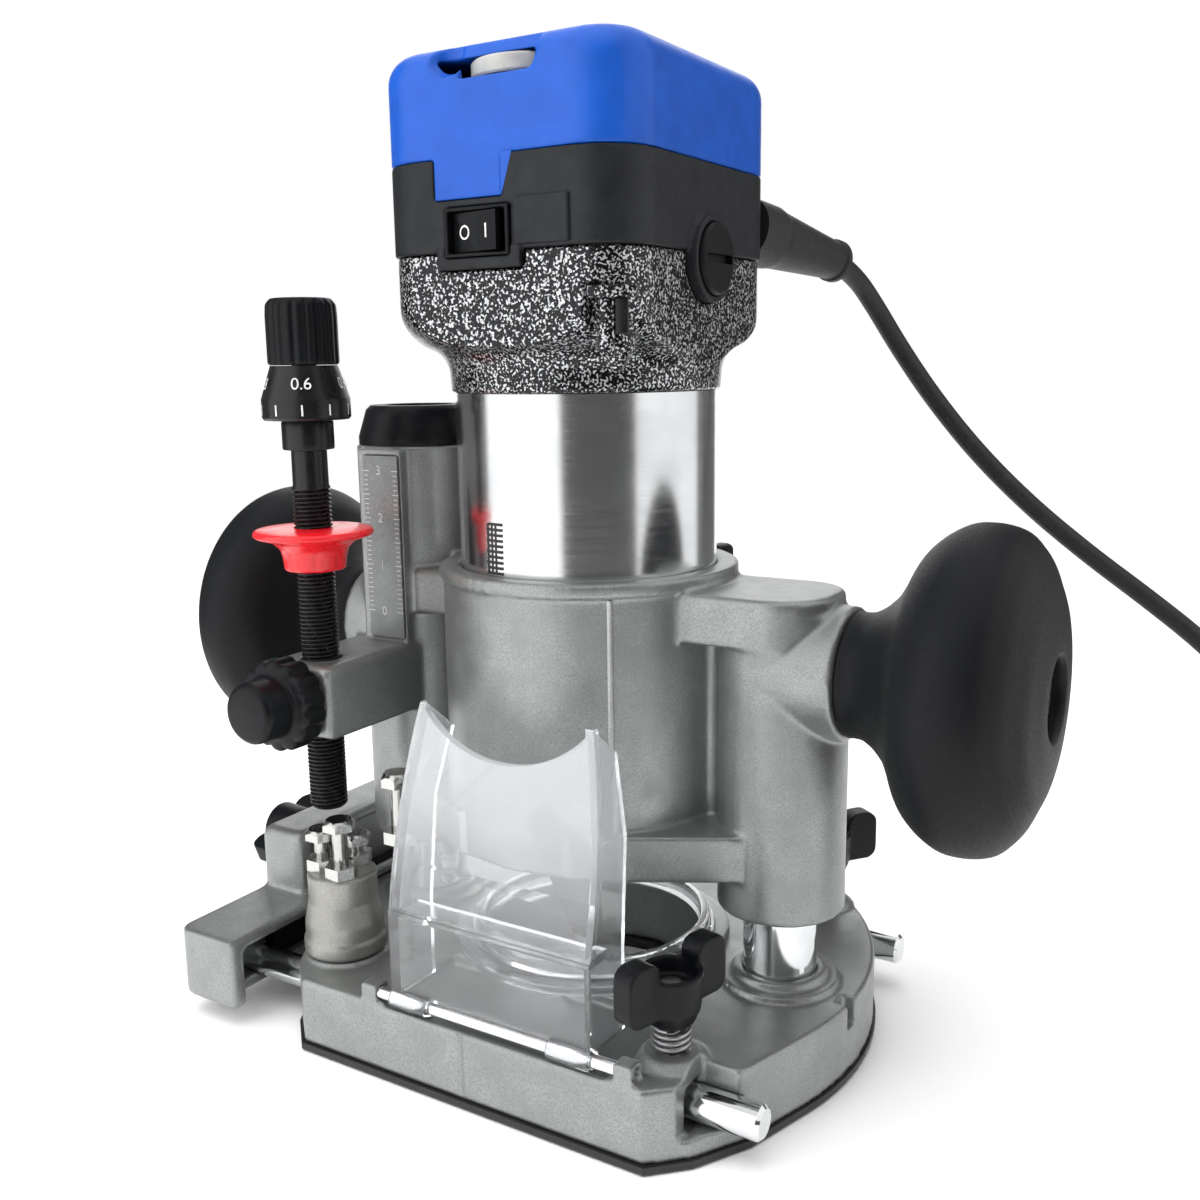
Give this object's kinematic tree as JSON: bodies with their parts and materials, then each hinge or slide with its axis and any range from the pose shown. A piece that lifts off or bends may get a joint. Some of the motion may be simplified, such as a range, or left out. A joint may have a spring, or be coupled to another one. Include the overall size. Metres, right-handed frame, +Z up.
{
  "type": "trim router in plunge base",
  "caption": "Small electric router motor held in a two-post plunge base with side knobs, depth rod over a turret of stop screws, clear chip shield and an edge guide on rods.",
  "frame": {"origin": "on the spindle axis at the underside of the sole, centre of the sole's round opening", "axes": "+X along the two side knobs towards the right one, +Y away from the flat front edge, +Z up along the spindle"},
  "size_m": [0.3695, 0.1925, 0.2388],
  "materials": {
    "cast": "satin silver-grey paint over die-cast metal, fine grain",
    "cast_warm": "satin warm grey paint over die-cast metal",
    "sole": "smooth black phenolic plastic",
    "zinc": "zinc-plated steel",
    "clear": "clear polycarbonate",
    "chrome": "polished chrome plating",
    "spring": "spring steel wire",
    "black_plastic": "moulded black plastic",
    "black_metal": "black anodised metal",
    "red": "bright red moulded plastic",
    "tube": "brushed aluminium tube",
    "hammer": "dark hammered paint with silver flecks",
    "band": "charcoal moulded plastic",
    "blue": "satin bright blue moulded plastic",
    "scale_plate": "satin aluminium plate with dark marks",
    "pale_plastic": "pale grey moulded plastic",
    "bronze": "sintered bronze",
    "copper": "enamelled copper windings",
    "laminate": "stacked electrical steel",
    "steel": "ground steel",
    "carbon": "carbon",
    "board": "green circuit board",
    "rubber": "black rubber",
    "cord": "black flexible lead"
  },
  "bodies": {
    "base": {"base_casting": "cast", "sole_plate": "sole", "sole_screws": "zinc", "sight_ring": "clear", "left_post": "chrome", "right_post": "chrome", "plunge_springs": "spring", "base_studs": "zinc", "shield_pin": "chrome", "wing_springs": "spring", "cord_coil": "cord", "plug": "rubber"},
    "carriage": {"carriage_casting": "cast", "carriage_bushes": "bronze", "post_cap": "black_plastic", "depth_scale": "scale_plate", "left_handle": "black_plastic", "right_handle": "black_plastic", "handle_bolts": "zinc", "motor_tube": "tube", "upper_casting": "hammer", "casing_screws": "zinc", "middle_band": "band", "top_cover": "blue", "switch_frame": "black_plastic", "brush_caps": "black_plastic", "brush_holders": "bronze", "carbon_brushes": "carbon", "stator_core": "laminate", "stator_coils": "copper", "bearings": "steel", "control_board": "board", "strain_relief": "rubber", "cord_lead": "cord"},
    "rotor": {"spindle": "steel", "armature": "laminate", "fan": "black_plastic", "collet": "steel", "collet_nut": "steel"},
    "rocker": {"switch_rocker": "black_plastic"},
    "dial": {"speed_dial": "pale_plastic"},
    "rod": {"depth_rod": "black_metal"},
    "flange": {"rod_flange": "red"},
    "fine_adjust": {"adjust_knob": "black_plastic", "dial_ring": "black_metal"},
    "rod_clamp": {"rod_clamp_knob": "black_plastic"},
    "lock": {"lock_lever": "black_metal"},
    "collar_clamp": {"collar_lever": "black_plastic", "collar_screw": "zinc"},
    "turret": {"turret_drum": "cast_warm", "stop_screws": "zinc"},
    "shield": {"chip_shield": "clear"},
    "guide": {"guide_bar": "cast", "guide_face": "black_plastic", "guide_rods": "chrome"},
    "guide_clamp": {"guide_knob": "black_plastic"},
    "front_wing": {"front_wing_knob": "black_plastic", "front_clamp_screw": "zinc"},
    "rear_wing": {"rear_wing_knob": "black_plastic", "rear_clamp_screw": "zinc"}
  },
  "joints": [
    {"name": "plunge", "type": "slide", "parent": "base", "child": "carriage", "axis": [0, 0, 1], "range_m": [-0.0045, 0.02], "deforming": ["plunge_springs", "cord_lead"]},
    {"name": "spindle_turn", "type": "hinge", "parent": "carriage", "child": "rotor", "pos_m": [0, 0, 0.1], "axis": [0, 0, 1], "continuous": true},
    {"name": "switch_press", "type": "hinge", "parent": "carriage", "child": "rocker", "pos_m": [-0.0035, -0.0352, 0.1988], "axis": [0, 0, 1], "range_deg": [0, 16]},
    {"name": "speed_turn", "type": "hinge", "parent": "carriage", "child": "dial", "pos_m": [0.002, -0.0255, 0.2331], "axis": [0, 0, 1], "range_deg": [0, 270]},
    {"name": "depth_slide", "type": "slide", "parent": "carriage", "child": "rod", "axis": [0, 0, 1], "range_m": [0, 0.015]},
    {"name": "flange_turn", "type": "hinge", "parent": "rod", "child": "flange", "pos_m": [-0.0552, -0.0412, 0.129], "axis": [0, 0, 1], "continuous": true},
    {"name": "fine_turn", "type": "hinge", "parent": "rod", "child": "fine_adjust", "pos_m": [-0.0552, -0.0412, 0.17], "axis": [0, 0, 1], "continuous": true},
    {"name": "rod_clamp_turn", "type": "hinge", "parent": "carriage", "child": "rod_clamp", "pos_m": [-0.0552, -0.055, 0.0886], "axis": [0, -1, 0], "range_deg": [-180, 360]},
    {"name": "lock_turn", "type": "hinge", "parent": "carriage", "child": "lock", "pos_m": [0.054, 0.027, 0.06], "axis": [0, 1, 0], "range_deg": [0, 45]},
    {"name": "collar_turn", "type": "hinge", "parent": "carriage", "child": "collar_clamp", "pos_m": [0, 0.0435, 0.085], "axis": [1, 0, 0], "range_deg": [-75, 0]},
    {"name": "turret_turn", "type": "hinge", "parent": "base", "child": "turret", "pos_m": [-0.0502, -0.0431, 0.03], "axis": [0, 0, 1], "continuous": true},
    {"name": "shield_swing", "type": "hinge", "parent": "base", "child": "shield", "pos_m": [0.0076, -0.0586, 0.0214], "axis": [1, 0, 0], "range_deg": [0, 90]},
    {"name": "guide_slide", "type": "slide", "parent": "base", "child": "guide", "axis": [-1, 0, 0], "range_m": [0, 0.045]},
    {"name": "guide_clamp_turn", "type": "hinge", "parent": "guide", "child": "guide_clamp", "pos_m": [-0.092, -0.012, 0.033], "axis": [-1, 0, 0], "range_deg": [-180, 0]},
    {"name": "front_wing_turn", "type": "hinge", "parent": "base", "child": "front_wing", "pos_m": [0.048, -0.0458, 0.03], "axis": [0, 0, 1], "range_deg": [-25, 25]},
    {"name": "rear_wing_turn", "type": "hinge", "parent": "base", "child": "rear_wing", "pos_m": [0.048, 0.0458, 0.03], "axis": [0, 0, 1], "range_deg": [-25, 25]}
  ]
}
